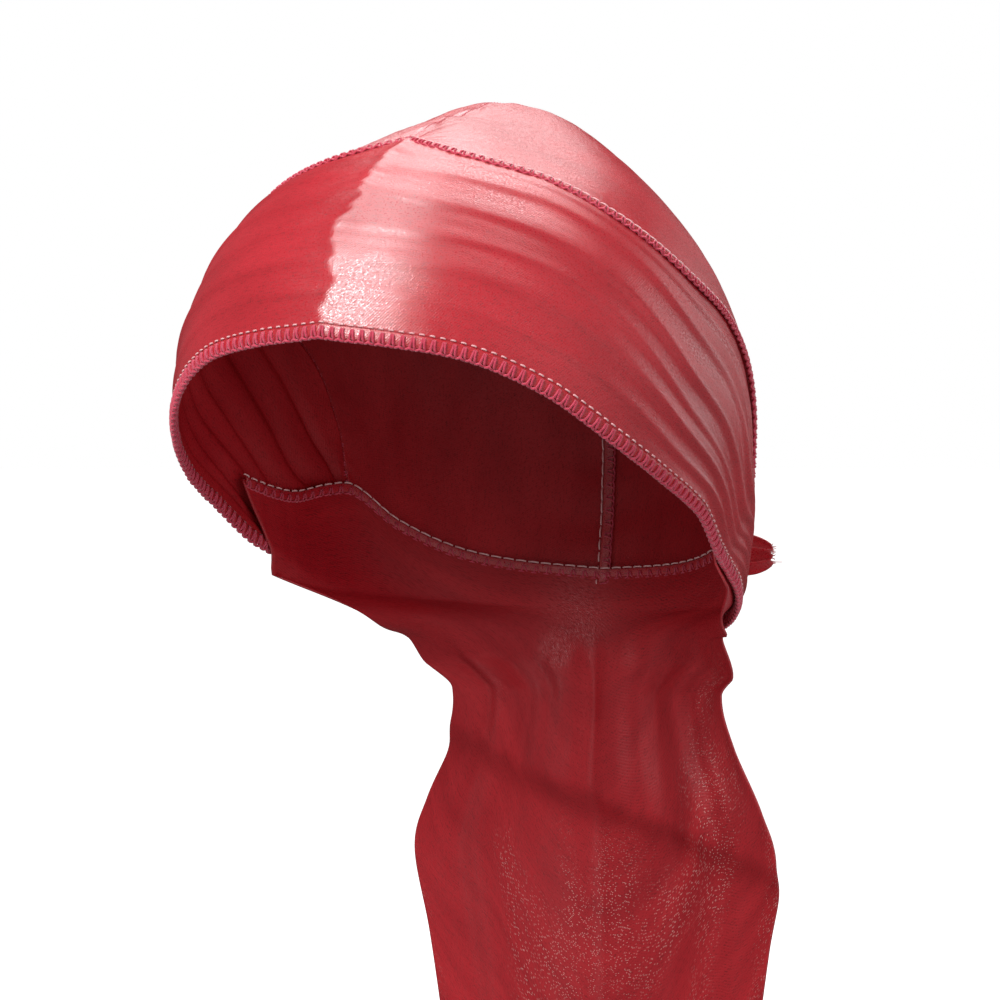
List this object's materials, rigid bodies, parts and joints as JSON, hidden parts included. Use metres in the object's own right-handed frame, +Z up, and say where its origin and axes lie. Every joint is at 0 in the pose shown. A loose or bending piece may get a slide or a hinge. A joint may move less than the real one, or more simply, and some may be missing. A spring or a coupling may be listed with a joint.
{
  "type": "satin durag, tied as worn",
  "caption": "Satin durag in its worn form: forehead band that narrows into ties, seamed crown, knot at the nape and hanging back flap.",
  "frame": {"origin": "on the inside of the crown above the middle of the head, where the top of the head bears", "axes": "+Z up, -Y the way the wearer faces, +X the wearer's left"},
  "size_m": [0.171, 0.2073, 0.3024],
  "materials": {
    "satin": "glossy coral-red polyester satin",
    "satin_back": "coral-red satin, its duller back showing on the inner side",
    "serging": "bright pink overlock thread"
  },
  "bodies": {
    "root": {"forehead_band": "satin", "crown_panel_left": "satin", "crown_panel_right": "satin", "rim_serging": "serging", "crown_seam_serging": "serging", "back_flap": "satin_back", "tie_knot": "satin", "tie_end_left": "satin", "tie_end_right": "satin"}
  },
  "joints": []
}
